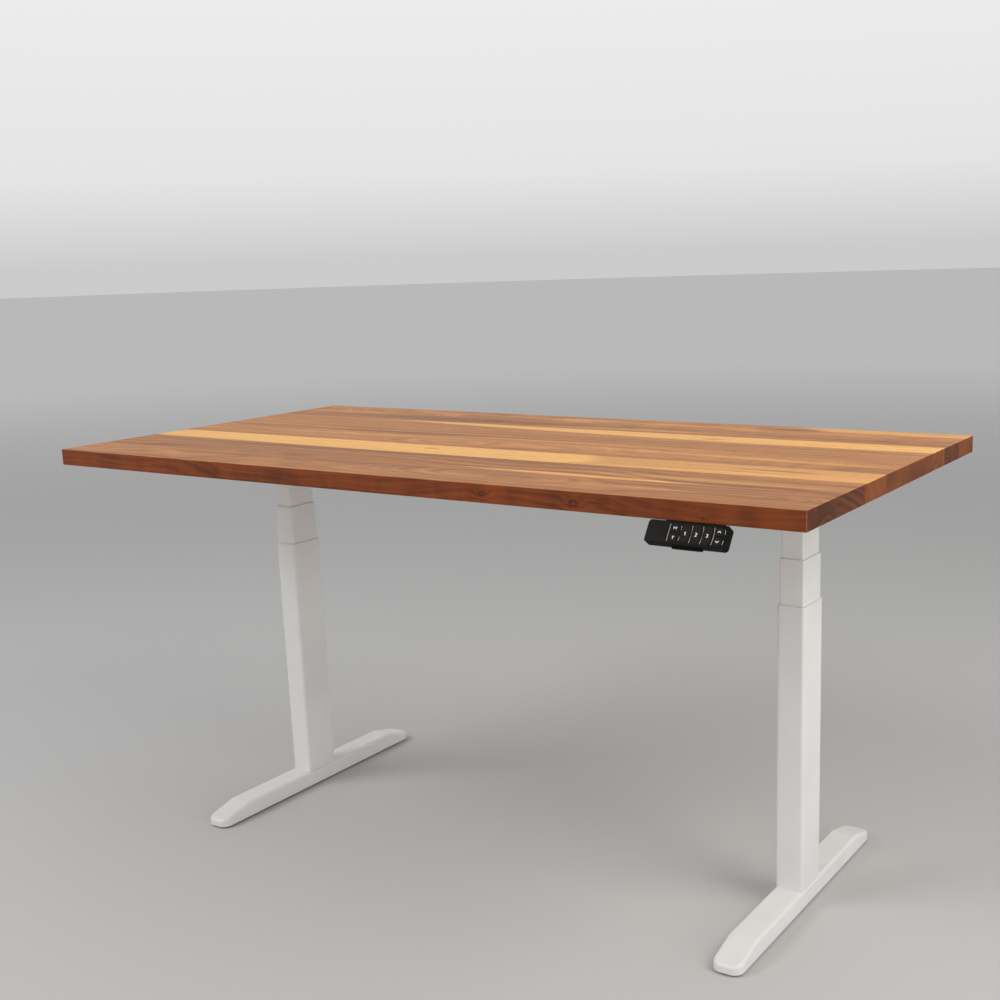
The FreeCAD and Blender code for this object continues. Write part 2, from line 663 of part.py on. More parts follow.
def keypad_pill(name, centre, half, out, corner):
    """A rounded bar in keypad coordinates: its centre and half sizes on the face, and its two depths."""
    outline = rectangle((f"-({half[0]})", half[0]), (f"-({half[1]})", half[1]))
    pill = prism(name, outline, "0", f"({out[1]})-({out[0]})", corner=corner)
    return on_keypad(pill, centre[0], centre[1], out[0])


# each button: its centre across and up the face, its half width and half length, and its corners
LETTER_SHAPE = ("letter_half", "small_long", "small_corner")
NUMBER_SHAPE = ("number_half", "number_long", "number_corner")
ARROW_SHAPE = ("arrow_half", "small_long", "small_corner")
BUTTONS = {
    "button_memory": ("first_number-number_pitch", "small_place", *LETTER_SHAPE),
    "button_timer": ("first_number-number_pitch", "-small_place", *LETTER_SHAPE),
    "button_one": ("first_number", "0", *NUMBER_SHAPE),
    "button_two": ("first_number+number_pitch", "0", *NUMBER_SHAPE),
    "button_three": ("first_number+2*number_pitch", "0", *NUMBER_SHAPE),
    "button_up": ("first_number+3*number_pitch", "small_place", *ARROW_SHAPE),
    "button_down": ("first_number+3*number_pitch", "-small_place", *ARROW_SHAPE),
}
# the lip below the face, in side view
LIP_OUTLINE = [
    ("-386", "735"), ("-386.5", "727.3"), ("-383.5", "724.8"), ("-355", "735"), ("-342", "748"),
    ("-368", "750"),
]


def make_keypad_housing():
    name = "keypad_shell"
    front = keypad_pill(f"{name}_front", ("0", "0"), ("keypad_half", "keypad_slope"),
                        ("-keypad_thick", "0"), "keypad_corner")
    tongue = block(f"{name}_tongue", about("keypad_x", "tongue_half"), ("tongue_front", "tongue_back"),
                   ("tongue_low", "top_height-top_thickness"))
    lip = prism(f"{name}_lip", LIP_OUTLINE, "keypad_x-lip_left", "keypad_x+lip_right", plane="YZ_Plane")
    face_seat = keypad_block(f"{name}_face_seat", about("0", "face_half"), about("0", "face_slope"),
                             ("-face_thickness", "1"))
    recess = keypad_block(f"{name}_recess", about("0", "face_half-recess_side"),
                          about("0", "face_slope-recess_inset"), ("-recess_depth", "0"))
    holes = [
        rod(f"{name}_screw_hole_{number}", "wood_screw", "2*pilot_depth",
            (f"keypad_x+({sign})*keypad_screw_x", "keypad_screw_y", "tongue_low-1"))
        for number, sign in enumerate(SIDES.values())
    ]
    solid = fuse(f"{name}_solid", front, tongue, lip)
    return node("keypad_housing", cut(f"{name}_cut", solid, face_seat, recess, *holes))


def make_keypad_face():
    plate = keypad_block("face_plate", about("0", "face_half"), about("0", "face_slope"),
                         ("-face_thickness", "0"))
    holes = [
        keypad_pill(f"{name}_hole", (x, y), (f"{wide}+button_gap", f"{tall}+button_gap"),
                    ("-face_thickness-1", "1"), f"{corner}+button_gap")
        for name, (x, y, wide, tall, corner) in BUTTONS.items()
    ]
    return node("keypad_face", cut("face_cut", plate, *holes))


def make_button(name):
    """A cap through the face, with a flange behind it that keeps it in."""
    x, y, wide, tall, corner = BUTTONS[name]
    behind = "-face_thickness-button_flange"
    cap = keypad_pill(f"{name}_cap", (x, y), (wide, tall), (behind, "button_proud"), corner)
    flange = keypad_pill(
        f"{name}_flange", (x, y), (f"{wide}+flange_reach", f"{tall}+flange_reach"),
        (behind, "-face_thickness-thread_gap"), f"{corner}+flange_reach",
    )
    return node(name, fuse(f"{name}_solid", cap, flange))


def make_keypad_board():
    """The circuit board behind the buttons, with the display module at its left."""
    board = keypad_block("board", about("0", "face_half-recess_side-board_gap"),
                         about("0", "face_slope-recess_inset-board_gap"),
                         ("-recess_depth", "board_thickness-recess_depth"))
    display = keypad_block("display", ("-face_half+display_start", "-face_half+display_end"),
                           about("0", "display_half"), ("board_thickness-recess_depth", "-face_thickness"))
    return node("keypad_board", group("board_set", board, display))


make_keypad_housing()
make_keypad_face()
make_keypad_board()
for name in BUTTONS:
    make_button(name)


# ---------------------------------------------------------------- the top and its screws
TOP_UNDER = "top_height-top_thickness"
TOP_FRONT = "keypad_reach-(top_depth+keypad_reach)/2"


def screw_places():
    """Every wood screw: its X, its Y, and the underside that its head bears on."""
    places = []
    for side in SIDES:
        for x, y in BRACKET_SCREWS:
            places.append((f"{leg_centre(side)}+{x}", f"leg_y+{y}", "housing_high"))
    for sign in SIDES.values():
        places.append((f"keypad_x+({sign})*keypad_screw_x", "keypad_screw_y", "tongue_low"))
    return places


def make_top():
    panel = block("top_blank", about("0", "top_width/2"), (TOP_FRONT, f"{TOP_FRONT}+top_depth"),
                  (TOP_UNDER, "top_height"))
    pilots = [
        rod(f"pilot_{number}", "wood_screw", "pilot_depth", (x, y, TOP_UNDER))
        for number, (x, y, _) in enumerate(screw_places())
    ]
    return node("desktop_panel", cut("top_cut", panel, *pilots))


def make_desktop_screws():
    """Pan-head wood screws up into the top."""
    screws = []
    for number, (x, y, under) in enumerate(screw_places()):
        head = rod(f"wood_screw_{number}_head", "wood_screw_head", "wood_head_height",
                   (x, y, f"{under}-wood_head_height"))
        shank = rod(f"wood_screw_{number}_shank", "wood_screw", f"{TOP_UNDER}+pilot_depth-({under})",
                    (x, y, under))
        screws.append(fuse(f"wood_screw_{number}", head, shank))
    return node("desktop_screws", group("wood_screws", *screws))


make_top()
make_desktop_screws()


# ---------------------------------------------------------------- control box
def make_control_box():
    """A closed plastic box under the top, with a socket for the mains lead at its left end."""
    outside = prism("box_outside", rectangle(about("0", "box_half"), about("leg_y", "box_deep")),
                    "box_low", TOP_UNDER, corner="box_corner")
    y = about("leg_y+inlet_y", "inlet_half")
    z = about("inlet_z", "inlet_tall")
    socket = block("box_socket", ("-box_half-1", "inlet_depth-box_half"), y, z)
    node("control_box", cut("box_cut", outside, socket))
    frame = block("inlet_frame", ("-box_half-inlet_proud", "inlet_depth-box_half"), y, z)
    hollow = block("inlet_hollow", ("-box_half-inlet_proud-1", "inlet_depth-inlet_floor-box_half"),
                   about("leg_y+inlet_y", "inlet_half-inlet_wall"),
                   about("inlet_z", "inlet_tall-inlet_wall"))
    pins = [
        block(f"inlet_pin_{number}", ("8-box_half", "inlet_depth-inlet_floor+1-box_half"),
              about(f"leg_y+inlet_y+({y})", "pin_half"), about(f"inlet_z+({z})", "pin_tall"))
        for number, (y, z) in enumerate(((-7, -1), (0, 2), (7, -1)))
    ]
    node("control_box_inlet", fuse("inlet", cut("inlet_shell", frame, hollow), *pins))


make_control_box()


# ---------------------------------------------------------------- leads clipped under the top
def lead_path(points):
    """Straight runs joined by tangent arcs, each arc as large as its two runs allow."""
    edges = []
    start = points[0]
    for before, corner, after in zip(points, points[1:], points[2:]):
        arriving = (corner - before).normalize()
        leaving = (after - corner).normalize()
        half_turn = arriving.getAngle(leaving) / 2
        reach = 0.45 * min(before.distanceToPoint(corner), corner.distanceToPoint(after))
        radius = reach / math.tan(half_turn)
        tangent_in = corner - arriving * reach
        tangent_out = corner + leaving * reach
        bisector = (leaving - arriving).normalize()
        centre = corner + bisector * (radius / math.cos(half_turn))
        middle = centre - bisector * radius
        edges.append(Part.LineSegment(start, tangent_in).toShape())
        edges.append(Part.Arc(tangent_in, middle, tangent_out).toShape())
        start = tangent_out
        print(f"  arc radius {radius:.0f}")
    edges.append(Part.LineSegment(start, points[-1]).toShape())
    return Part.Wire(edges)


def make_lead(name, radius, route):
    """A round lead along a route of formula points."""
    print(name)
    points = [Vector(*[value(formula) for formula in point]) for point in route]
    path = lead_path(points)
    ring = Part.Wire([Part.makeCircle(value(radius), points[0], points[1] - points[0])])
    lead = document.addObject("Part::Feature", f"{name}_tube")
    lead.Shape = path.makePipeShell([ring], True, False)
    expected = math.pi * value(radius) ** 2 * path.Length
    if abs(lead.Shape.Volume / expected - 1) > 0.01:
        raise ValueError(f"{name}: volume {lead.Shape.Volume:.0f}, section times length {expected:.0f}")
    print(f"  length {path.Length:.0f}")
    return node(name, lead)


def motor_lead_route(side):
    """From the motor's end, up against the top, and along it to the control box."""
    sign = SIDES[side]
    start = "leg_x-housing_inner-motor_length"
    return [
        (f"{sign}*({start})", "leg_y-worm_y", "worm_z"), (f"{sign}*({start}-31)", "leg_y-worm_y", "731"),
        (f"{sign}*362", "leg_y-17", "742"), (f"{sign}*328", "leg_y-9", "753"),
        (f"{sign}*290", "leg_y-4", "756.6"), (f"{sign}*240", "leg_y-2", "757.6"),
        (f"{sign}*196", "leg_y", "755"), (f"{sign}*160", "leg_y+0.5", "749"),
        (f"{sign}*box_half", "leg_y", "746"),
    ]


KEYPAD_ROUTE = [
    ("keypad_x", "tongue_back", "752.5"), ("keypad_x-1", "-320", "754.5"), ("keypad_x-4", "-298", "756.8"),
    ("keypad_x-13", "-280", "757.8"), ("556", "-264", "758.4"), ("528", "-252", "758.7"),
    ("490", "-234", "758.4"), ("450", "-204", "758.7"), ("412", "-160", "758.4"),
    ("380", "-112", "758.7"), ("350", "-66", "758.5"), ("315", "-26", "758.7"),
    ("272", "0", "758.4"), ("226", "15", "756.5"), ("178", "25", "751"), ("box_half", "29", "746"),
]
for side in SIDES:
    make_lead(f"{side}_motor_lead", "motor_lead", motor_lead_route(side))
make_lead("keypad_lead", "keypad_lead", KEYPAD_ROUTE)


def make_clip(name, route, run, radius):
    """A small saddle under the top, square across the middle of one of a lead's runs."""
    before, after = (Vector(*[value(formula) for formula in point]) for point in route[run:run + 2])
    middle = (before + after) * 0.5
    heading = math.degrees(math.atan2(after.y - before.y, after.x - before.x))
    saddle = block(f"{name}_saddle", about("0", "clip_half"), about("0", "clip_reach"),
                   ("clip_low", TOP_UNDER))
    bore = rod(f"{name}_bore", f"{radius}+clip_gap", "4*clip_half", ("-2*clip_half", "0", f"{middle.z}"),
               along="X")
    clip = cut(name, saddle, bore)
    clip.Placement = FreeCAD.Placement(
        Vector(middle.x, middle.y, 0), FreeCAD.Rotation(Vector(0, 0, 1), heading)
    )
    return clip


MOTOR_CLIP_RUNS = (3, 5)
KEYPAD_CLIP_RUNS = (5, 8, 10)
clips = [
    make_clip(f"{side}_clip_{run}", motor_lead_route(side), run, "motor_lead")
    for side in SIDES for run in MOTOR_CLIP_RUNS
]
clips += [make_clip(f"keypad_clip_{run}", KEYPAD_ROUTE, run, "keypad_lead") for run in KEYPAD_CLIP_RUNS]
node("lead_clips", group("lead_clip_set", *clips))


# ---------------------------------------------------------------- check and write
document.recompute()
failed = [item.Label for item in document.Objects if {"Invalid", "Error"} & set(item.State)]
if failed:
    raise ValueError(f"objects that failed: {failed}")
for label, item in NODES.items():
    if item.Shape.isNull() or not item.Shape.isValid():
        raise ValueError(f"{label} has no valid shape")
os.makedirs("parts", exist_ok=True)
for label, item in NODES.items():
    item.Shape.exportStep(f"parts/{label}.step")
    print(f"{label}: {len(item.Shape.Solids)} solid(s), {item.Shape.Volume / 1000:.1f} cm3")
print(len(NODES), "sub-parts")
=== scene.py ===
# %% [markdown]
# # A height adjustable standing desk
# An oiled walnut top on two motorised columns of powder-coated steel. The measured, moving frame of
# the desk is loaded as it is, and this lesson gives it its looks: a top glued up from eight boards,
# the paint on the steel, and the small keypad under the front edge. All lengths are in metres.

# %% Load the measured frame
import json
import math

import bmesh
import bpy
from mathutils import Matrix, Vector


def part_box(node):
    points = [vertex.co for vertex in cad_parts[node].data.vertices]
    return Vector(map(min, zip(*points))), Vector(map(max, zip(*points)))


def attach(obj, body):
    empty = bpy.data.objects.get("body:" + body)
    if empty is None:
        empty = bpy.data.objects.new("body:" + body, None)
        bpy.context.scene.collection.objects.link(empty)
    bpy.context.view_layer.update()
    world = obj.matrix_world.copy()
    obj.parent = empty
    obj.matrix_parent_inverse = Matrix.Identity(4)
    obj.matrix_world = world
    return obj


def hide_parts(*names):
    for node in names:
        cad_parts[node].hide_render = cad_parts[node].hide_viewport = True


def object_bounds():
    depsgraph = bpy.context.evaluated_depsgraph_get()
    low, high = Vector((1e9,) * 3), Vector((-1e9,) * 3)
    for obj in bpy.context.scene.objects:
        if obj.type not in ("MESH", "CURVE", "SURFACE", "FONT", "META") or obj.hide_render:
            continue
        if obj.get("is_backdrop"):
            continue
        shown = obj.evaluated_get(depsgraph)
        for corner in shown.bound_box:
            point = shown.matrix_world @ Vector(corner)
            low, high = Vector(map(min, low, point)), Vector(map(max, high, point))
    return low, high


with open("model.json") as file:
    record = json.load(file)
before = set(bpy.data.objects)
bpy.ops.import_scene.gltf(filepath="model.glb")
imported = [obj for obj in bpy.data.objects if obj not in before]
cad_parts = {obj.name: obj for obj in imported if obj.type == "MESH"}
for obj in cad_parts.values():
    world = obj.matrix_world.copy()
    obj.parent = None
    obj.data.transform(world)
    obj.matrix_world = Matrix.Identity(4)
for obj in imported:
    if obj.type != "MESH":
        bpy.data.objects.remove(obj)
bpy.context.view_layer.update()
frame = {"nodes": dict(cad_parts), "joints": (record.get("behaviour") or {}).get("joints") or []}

NODES = frame["nodes"]

# %% [markdown]
# ## Camera
# The picture is taken from the right of the desk, a little above the top, with a moderate lens. The
# sideways shift is what a picture has when it is cut from the side of a wider one. It is kept small,
# so that the desk stays whole when the camera goes round it, and a slight roll takes up the rest.

# %% Camera
CAMERA_PLACE = Vector((1.415, -1.9564, 1.1279))
CAMERA_TURN = 0.5727        # to the left of straight ahead, in radians
CAMERA_DIP = 0.2164
CAMERA_ROLL = -0.0305

lens_data = bpy.data.cameras.new("camera")
lens_data.sensor_width = 36.0
lens_data.lens = 47.4
lens_data.shift_x = -0.07
lens_data.shift_y = 0.044
camera = bpy.data.objects.new("camera", lens_data)
bpy.context.scene.collection.objects.link(camera)
aim = Matrix.Rotation(CAMERA_TURN, 4, "Z") @ Matrix.Rotation(math.pi / 2 - CAMERA_DIP, 4, "X")
camera.matrix_world = Matrix.Translation(CAMERA_PLACE) @ aim @ Matrix.Rotation(CAMERA_ROLL, 4, "Z")
bpy.context.scene.camera = camera
print("camera at", [round(v, 3) for v in CAMERA_PLACE], "lens", lens_data.lens)

# %% [markdown]
# ## Floor and light
# White paint and oiled wood both show their form by soft light that differs from side to side. A
# broad light from the front left gives the top its sheen. A second one from the right is brighter on
# the columns' outer sides than the first is on their fronts, which is what makes them look square.
# A third, low on the right, lifts what the top shades. The floor is a wide disc that pales with
# distance, and the world stands in for a pale room: near the far floor's brightness at the horizon, so
# that the floor runs into it, then brighter for the walls, and softer overhead.

# %% Helpers for objects and materials
def add_object(name, data):
    made = bpy.data.objects.new(name, data)
    bpy.context.scene.collection.objects.link(made)
    return made


def new_material(name):
    """A node material with only its shader left in it."""
    material = bpy.data.materials.new(name)
    material.use_nodes = True
    tree = material.node_tree
    shader = tree.nodes["Principled BSDF"]
    return material, tree, shader


def add_node(tree, kind, **settings):
    """A node of the kind that Blender calls by this name, with its settings."""
    made = tree.nodes.new(kind)
    for key, setting in settings.items():
        setattr(made, key, setting)
    return made


def sums(tree, operation, first, second=None, third=None):
    """One Math node. Each term is a socket or a number."""
    node = add_node(tree, "ShaderNodeMath", operation=operation)
    for index, term in enumerate((first, second, third)):
        if isinstance(term, bpy.types.NodeSocket):
            tree.links.new(term, node.inputs[index])
        elif term is not None:
            node.inputs[index].default_value = term
    return node.outputs[0]


def object_place(tree):
    return add_node(tree, "ShaderNodeTexCoord").outputs["Object"]


def stretched(tree, place, scale, shift=(0, 0, 0)):
    """Coordinates scaled, and so a texture stretched, along each axis."""
    mapping = add_node(tree, "ShaderNodeMapping")
    mapping.inputs["Scale"].default_value = scale
    mapping.inputs["Location"].default_value = shift
    tree.links.new(place, mapping.inputs["Vector"])
    return mapping.outputs["Vector"]


def noise(tree, place, scale, detail=3.0):
    node = add_node(tree, "ShaderNodeTexNoise")
    node.inputs["Scale"].default_value = scale
    node.inputs["Detail"].default_value = detail
    node.inputs["Roughness"].default_value = 0.55
    tree.links.new(place, node.inputs["Vector"])
    return node


def ramp(tree, factor, stops):
    """A colour for each level of the factor. stops is a list of levels and colours."""
    node = add_node(tree, "ShaderNodeValToRGB")
    elements = node.color_ramp.elements
    while len(elements) < len(stops):
        elements.new(0.5)
    for element, (place, colour) in zip(elements, stops):
        element.position = place
        element.color = (*colour, 1.0)
    tree.links.new(factor, node.inputs[0])
    return node.outputs[0]


def blend(tree, factor, first, second, mode="MIX"):
    """Mix two colours. Each is a socket or a colour, and so is the factor or a number."""
    node = add_node(tree, "ShaderNodeMix", data_type="RGBA", blend_type=mode)
    for socket, term in ((node.inputs[0], factor), (node.inputs[6], first), (node.inputs[7], second)):
        if isinstance(term, bpy.types.NodeSocket):
            tree.links.new(term, socket)
        elif isinstance(term, (int, float)):
            socket.default_value = term
        else:
            socket.default_value = (*term, 1.0)
    return node.outputs[2]


def span(tree, factor, low, high, to_low=0.0, to_high=1.0):
    """A soft step: to_low at low, to_high at high, with a smooth change between them."""
    node = add_node(tree, "ShaderNodeMapRange", interpolation_type="SMOOTHSTEP")
    for index, term in enumerate((factor, low, high, to_low, to_high)):
        if isinstance(term, bpy.types.NodeSocket):
            tree.links.new(term, node.inputs[index])
        else:
            node.inputs[index].default_value = term
    return node.outputs[0]


def bump(tree, shader, height, strength, distance):
    node = add_node(tree, "ShaderNodeBump")
    node.inputs["Strength"].default_value = strength
    node.inputs["Distance"].default_value = distance
    tree.links.new(height, node.inputs["Height"])
    tree.links.new(node.outputs["Normal"], shader.inputs["Normal"])


# %% Floor, world and lights
FLOOR_NEAR = (0.55, 0.55, 0.55)
FLOOR_FAR = (0.93, 0.93, 0.93)
FLOOR_FADE = (2.6, 12.0)    # how far from the desk the floor starts and ends to pale
FLOOR_RADIUS = 60.0
FLOOR_SIDES = 96
ROOM_LIGHT = [(0.0, 0.60), (0.06, 0.78), (0.22, 0.86), (0.50, 0.55), (1.0, 0.36)]

floor_mesh = bpy.data.meshes.new("floor")
floor_turns = [2 * math.pi * step / FLOOR_SIDES for step in range(FLOOR_SIDES)]
floor_rim = [(FLOOR_RADIUS * math.cos(turn), FLOOR_RADIUS * math.sin(turn), 0) for turn in floor_turns]
floor_mesh.from_pydata(floor_rim, [], [range(FLOOR_SIDES)])
floor = add_object("floor", floor_mesh)
floor_paint, floor_tree, floor_shader = new_material("floor_paint")
far_out = add_node(floor_tree, "ShaderNodeVectorMath", operation="LENGTH")
floor_tree.links.new(object_place(floor_tree), far_out.inputs[0])
floor_fade = span(floor_tree, far_out.outputs["Value"], *FLOOR_FADE)
floor_tree.links.new(blend(floor_tree, floor_fade, FLOOR_NEAR, FLOOR_FAR), floor_shader.inputs["Base Color"])
floor_shader.inputs["Roughness"].default_value = 0.9
floor_shader.inputs["Specular IOR Level"].default_value = 0.2
floor_mesh.materials.append(floor_paint)
floor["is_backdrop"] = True

world = bpy.data.worlds.new("room")
world.use_nodes = True
room_tree = world.node_tree
upward = add_node(room_tree, "ShaderNodeSeparateXYZ")
room_tree.links.new(add_node(room_tree, "ShaderNodeTexCoord").outputs["Generated"], upward.inputs[0])
room_colour = ramp(room_tree, upward.outputs[2], [(height, (level,) * 3) for height, level in ROOM_LIGHT])
room_tree.links.new(room_colour, room_tree.nodes["Background"].inputs["Color"])
bpy.context.scene.world = world
bpy.context.scene.view_settings.view_transform = "Standard"


def area_light(name, place, target, size, watts, colour):
    data = bpy.data.lights.new(name, "AREA")
    data.shape = "RECTANGLE"
    data.size, data.size_y = size
    data.energy = watts
    data.color = colour
    light = add_object(name, data)
    light.location = place
    light.rotation_euler = (Vector(target) - Vector(place)).to_track_quat("-Z", "Y").to_euler()


area_light("window_left", (-2.2, -2.4, 3.2), (0, 0, 0.7), (2.2, 1.6), 66, (1.0, 1.0, 1.0))
area_light("window_right", (2.4, -0.1, 2.4), (0.3, 0.1, 0.6), (1.5, 1.5), 31, (1.0, 0.95, 0.88))
area_light("low_fill", (3.4, -0.9, 0.9), (0, 0, 0.4), (2.0, 1.2), 18, (1.0, 0.98, 0.95))

# %% [markdown]
# ## Powder coat
# The frame is sprayed with powder and baked, which leaves a satin, very slightly pebbled skin of a
# warm light grey. A flat colour would look like plastic, so fine noise lifts the surface by a few
# hundredths of a millimetre, and a broader one varies the gloss. A little dust tone sits in it too.

# %% Powder coat
PAINT_COLOUR = (0.75, 0.75, 0.745)
PEBBLE = 900.0           # bumps in each metre


def powder_coat(name, colour, gloss):
    material, tree, shader = new_material(name)
    place = object_place(tree)
    broad = noise(tree, place, 7.0, detail=4).outputs[0]
    fine = noise(tree, place, PEBBLE, detail=2).outputs[0]
    darker, lighter = [c * 0.96 for c in colour], [min(1, c * 1.03) for c in colour]
    tint = blend(tree, span(tree, broad, 0.3, 0.7), darker, lighter)
    tree.links.new(tint, shader.inputs["Base Color"])
    uneven = sums(tree, "MULTIPLY_ADD", broad, 0.10, gloss - 0.05)
    tree.links.new(sums(tree, "MULTIPLY_ADD", fine, 0.08, uneven), shader.inputs["Roughness"])
    bump(tree, shader, fine, 0.25, 0.00004)
    return material


PAINT = powder_coat("powder_coat", PAINT_COLOUR, 0.32)
MOTOR_PAINT = powder_coat("motor_paint", (0.022, 0.022, 0.024), 0.45)


def finish(material, *names):
    """Give frame parts a material of their own."""
    for name in names:
        for slot in NODES[name].material_slots:
            slot.material = material


STEEL_PARTS = [
    f"{side}_{part}" for side in ("left", "right")
    for part in ("foot", "outer_column", "middle_column", "inner_column", "gearbox_housing", "side_bracket")
] + ["centre_rails", "side_rails"]
finish(PAINT, *STEEL_PARTS)
finish(MOTOR_PAINT, "left_motor_can", "right_motor_can")
print("painted", len(STEEL_PARTS) + 2, "parts")

# %% [markdown]
# ## Plastics, rubber and bare metal
# The small parts are moulded or turned. Moulded plastic has a fine spark texture with small, dense
# bumps, rubber is duller with a soft sheen, and turned steel and zinc are bright with faint rings.
# One recipe makes each of the three kinds, and only colour, roughness and grain size change.

# %% Moulded plastic and rubber
def moulded(name, colour, rough, grain=1400.0, depth=0.00003, shine=0.5):
    material, tree, shader = new_material(name)
    shader.inputs["Specular IOR Level"].default_value = shine
    place = object_place(tree)
    grainy = noise(tree, place, grain, detail=2).outputs[0]
    worn = noise(tree, place, 30.0, detail=3).outputs[0]
    tint = blend(tree, worn, [c * 0.85 for c in colour], [min(1, c * 1.15) for c in colour])
    tree.links.new(tint, shader.inputs["Base Color"])
    tree.links.new(sums(tree, "MULTIPLY_ADD", grainy, 0.12, rough - 0.06), shader.inputs["Roughness"])
    bump(tree, shader, grainy, 0.4, depth)
    return material


finish(moulded("glide_rubber", (0.018, 0.018, 0.018), 0.75), *[
    f"{side}_{end}_glide" for side in ("left", "right") for end in ("front", "rear")
])
finish(moulded("liner_plastic", (0.66, 0.66, 0.64), 0.5), "left_middle_liners", "right_middle_liners",
       "outer_column_liners", "inner_column_liners")
finish(moulded("nut_plastic", (0.62, 0.58, 0.46), 0.45), "left_lower_nut", "right_lower_nut",
       "left_worm_wheel", "right_worm_wheel", "lift_nuts")
finish(moulded("box_plastic", (0.022, 0.022, 0.024), 0.5), "control_box", "lead_clips", "control_box_inlet")
finish(moulded("lead_rubber", (0.014, 0.014, 0.014), 0.5, grain=500.0), "left_motor_lead",
       "right_motor_lead", "keypad_lead")
finish(moulded("board_green", (0.03, 0.12, 0.05), 0.35), "keypad_board")


# %% Turned steel and zinc
def turned(name, colour, rough):
    material, tree, shader = new_material(name)
    place = object_place(tree)
    rings = noise(tree, stretched(tree, place, (40, 40, 2200)), 1.0, detail=2).outputs[0]
    tint = blend(tree, rings, [c * 0.82 for c in colour], colour)
    tree.links.new(tint, shader.inputs["Base Color"])
    shader.inputs["Metallic"].default_value = 1.0
    tree.links.new(sums(tree, "MULTIPLY_ADD", rings, 0.18, rough - 0.09), shader.inputs["Roughness"])
    bump(tree, shader, rings, 0.2, 0.00003)
    return material


finish(turned("spindle_steel", (0.46, 0.46, 0.47), 0.32), "column_base_plates", "base_spindles", "lift_tubes",
       *[f"{side}_{part}" for side in ("left", "right")
         for part in ("spindle_bearing", "lift_spindle", "drive_shaft", "motor_worm")])
finish(turned("zinc", (0.62, 0.62, 0.64), 0.28), "foot_screws", "rail_screws", "desktop_screws")

# %% [markdown]
# ## The walnut, as solid wood
# The top is glued up from eight full-length boards, so each end shows eight blocks of end grain. A
# picture pasted on the faces would not agree from face to face. Here the wood is solid instead: each
# board has a pith, the line at the heart of the log that it was sawn from, and the growth rings are
# circles about that line. Where the rings wander and a face cuts them at a low angle, they show as
# long arches, and at the ends of the same board they show as arcs. Fine fibres and pores run along
# the board, and pale sapwood is laid in as long lens-shaped stretches.

# %% Walnut colours and the boards
HEART_DARK = (0.20, 0.070, 0.018)
HEART_MID = (0.46, 0.180, 0.050)
HEART_LIGHT = (0.68, 0.295, 0.084)
SAP_DEEP = (0.72, 0.285, 0.066)
SAP_PALE = (0.97, 0.525, 0.150)
KNOT = (0.07, 0.022, 0.010)
END_DARK = (0.040, 0.013, 0.004)
END_LIGHT = (0.18, 0.052, 0.013)
# the last colour is painted shade, for the front and rear edges
EDGE_SHADE = (0.44, 0.220, 0.072)

top_low, top_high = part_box("desktop_panel")
FRONT = top_low.y

